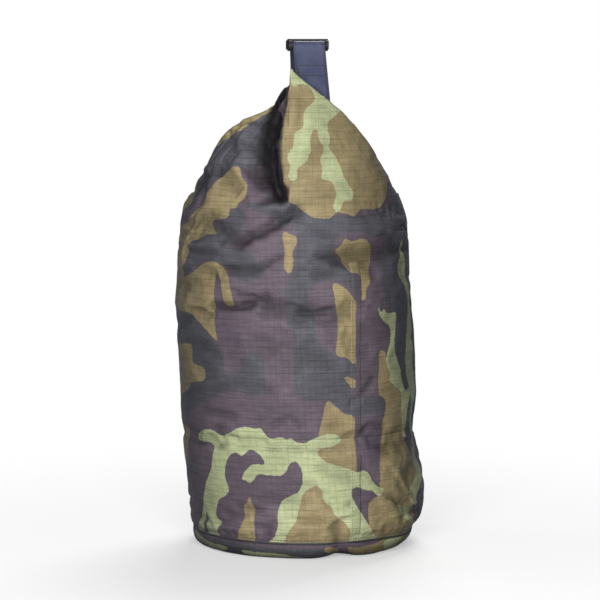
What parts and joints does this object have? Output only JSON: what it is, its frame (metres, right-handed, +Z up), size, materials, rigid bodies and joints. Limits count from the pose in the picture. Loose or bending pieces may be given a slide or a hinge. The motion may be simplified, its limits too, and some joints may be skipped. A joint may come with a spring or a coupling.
{
  "type": "stuff sack",
  "caption": "Roll-top stuff sack standing on a round sewn base, its mouth rolled and bent up into a carry loop closed by a side-release buckle.",
  "frame": {"origin": "on the floor under the middle of the round base", "axes": "+Z up, along the sack's height; -Y is the front, which the near end of the carry loop faces; +X is to the viewer's right"},
  "size_m": [0.1951, 0.186, 0.3998],
  "materials": {
    "camo_fabric": "coated ripstop with a satin sheen",
    "seam_tape": "woven, matte",
    "webbing": "coated webbing, smooth satin",
    "thread": "bonded thread",
    "stiffener": "matte",
    "buckle": "moulded, satin"
  },
  "bodies": {
    "sack": {"base_panel": "camo_fabric", "base_seam_binding": "seam_tape", "lower_body_panel": "camo_fabric", "lower_side_seam": "camo_fabric", "waist_seam_tape": "camo_fabric", "upper_body_panel": "camo_fabric", "upper_side_seam": "camo_fabric", "rolled_mouth": "camo_fabric", "mouth_stiffener": "stiffener", "socket_tab": "webbing", "socket_tab_stitching": "thread", "buckle_socket": "buckle"},
    "plug": {"buckle_plug": "buckle", "plug_tab": "webbing", "plug_tab_stitching": "thread"},
    "left_prong": {"release_prong_left": "buckle"},
    "right_prong": {"release_prong_right": "buckle"}
  },
  "joints": [
    {"name": "buckle_release", "type": "slide", "parent": "sack", "child": "plug", "axis": [-0.0523, 0.9986, 0], "range_m": [0, 0.034], "deforming": ["release_prong_left", "release_prong_right"]},
    {"name": "prong_left_squeeze", "type": "hinge", "parent": "plug", "child": "left_prong", "pos_m": [-0.00863, 0.00611, 0.395], "axis": [0, 0, 1], "range_deg": [0, 14]},
    {"name": "prong_right_squeeze", "type": "hinge", "parent": "plug", "child": "right_prong", "pos_m": [0.00954, 0.00707, 0.395], "axis": [0, 0, 1], "range_deg": [-14, 0]}
  ],
  "couplings": [
    {"joint": "prong_right_squeeze", "follows": "prong_left_squeeze", "ratio": -1}
  ]
}
